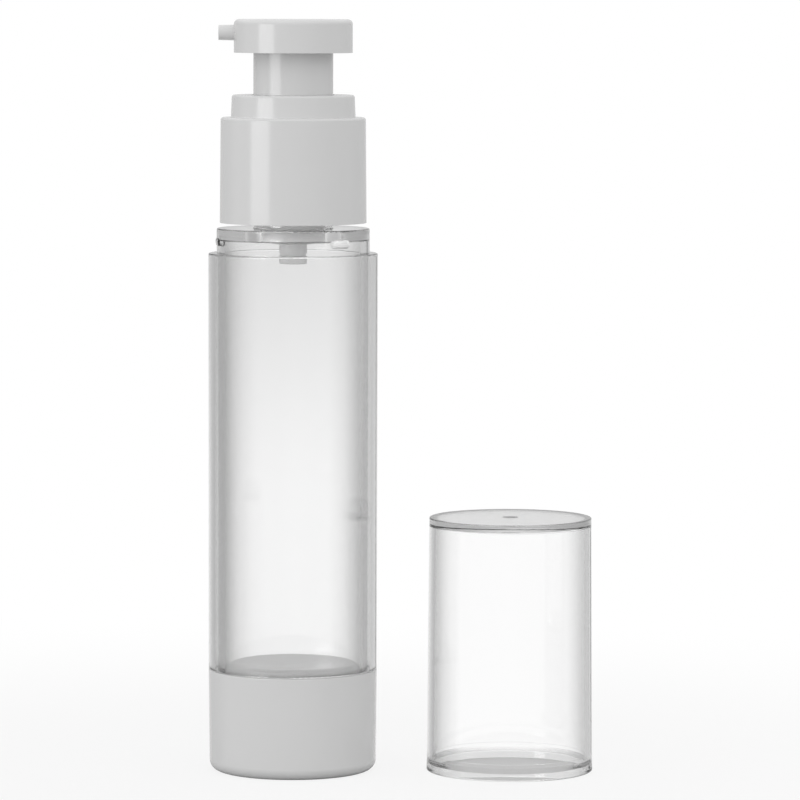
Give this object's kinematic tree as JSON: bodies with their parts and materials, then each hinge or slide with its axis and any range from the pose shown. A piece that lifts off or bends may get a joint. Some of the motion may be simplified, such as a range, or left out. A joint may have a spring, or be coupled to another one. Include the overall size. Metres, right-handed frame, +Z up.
{
  "type": "airless pump bottle",
  "caption": "Slim clear double-wall airless pump bottle with a follower piston, stepped collar, press-down spout head and opaque base, its clear overcap standing beside it.",
  "frame": {"origin": "centre of the bottle's foot, on the plane that the bottle and its overcap stand on", "axes": "+Z up along the bottle's axis, the spout points to -X, and the overcap stands on the +X side"},
  "size_m": [0.0776, 0.034, 0.1513],
  "materials": {
    "white_plastic": "smooth moulded, soft gloss",
    "clear_plastic": "clear, polished",
    "natural_plastic": "uncoloured, slightly translucent",
    "soft_plastic": "soft moulded, satin",
    "gasket": "matt",
    "steel": "bright drawn"
  },
  "bodies": {
    "bottle": {"base_cup": "white_plastic", "outer_sleeve": "clear_plastic", "inner_bottle": "clear_plastic"},
    "follower": {"follower_piston": "soft_plastic"},
    "pump": {"pump_body": "natural_plastic", "stem_retainer": "natural_plastic", "neck_gasket": "gasket", "return_spring": "steel"},
    "closure": {"threaded_closure": "natural_plastic", "collar_shell": "white_plastic"},
    "stem": {"stem": "natural_plastic", "stem_plug": "natural_plastic"},
    "seal": {"pump_seal": "soft_plastic"},
    "head": {"actuator": "white_plastic"},
    "ball": {"inlet_ball": "steel"},
    "cap": {"overcap": "clear_plastic"}
  },
  "joints": [
    {"name": "follower_rise", "type": "slide", "parent": "bottle", "child": "follower", "axis": [0, 0, 1], "range_m": [0, 0.0811]},
    {"name": "pump_lift", "type": "slide", "parent": "bottle", "child": "pump", "axis": [0, 0, 1], "range_m": [0, 0.00477]},
    {"name": "closure_turn", "type": "hinge", "parent": "pump", "child": "closure", "pos_m": [0, 0, 0.1174], "axis": [0, 0, 1], "range_deg": [0, 540]},
    {"name": "pump_press", "type": "slide", "parent": "pump", "child": "stem", "axis": [0, 0, -1], "range_m": [0, 0.0075], "stiffness_N_per_m": 900, "springref_m": -0.01, "deforming": ["return_spring"]},
    {"name": "seal_slide", "type": "slide", "parent": "stem", "child": "seal", "axis": [0, 0, 1], "range_m": [0, 0.0008]},
    {"name": "head_swivel", "type": "hinge", "parent": "stem", "child": "head", "pos_m": [0, 0, 0.1478], "axis": [0, 0, 1], "continuous": true},
    {"name": "ball_lift", "type": "slide", "parent": "pump", "child": "ball", "axis": [0, 0, 1], "range_m": [0, 0.0012]},
    {"name": "cap_lift", "type": "slide", "parent": "bottle", "child": "cap", "axis": [0, 0, 1], "range_m": [0, 0.1045]}
  ],
  "couplings": [
    {"joint": "pump_lift", "follows": "closure_turn", "m_per_rad": 0.00050532}
  ]
}
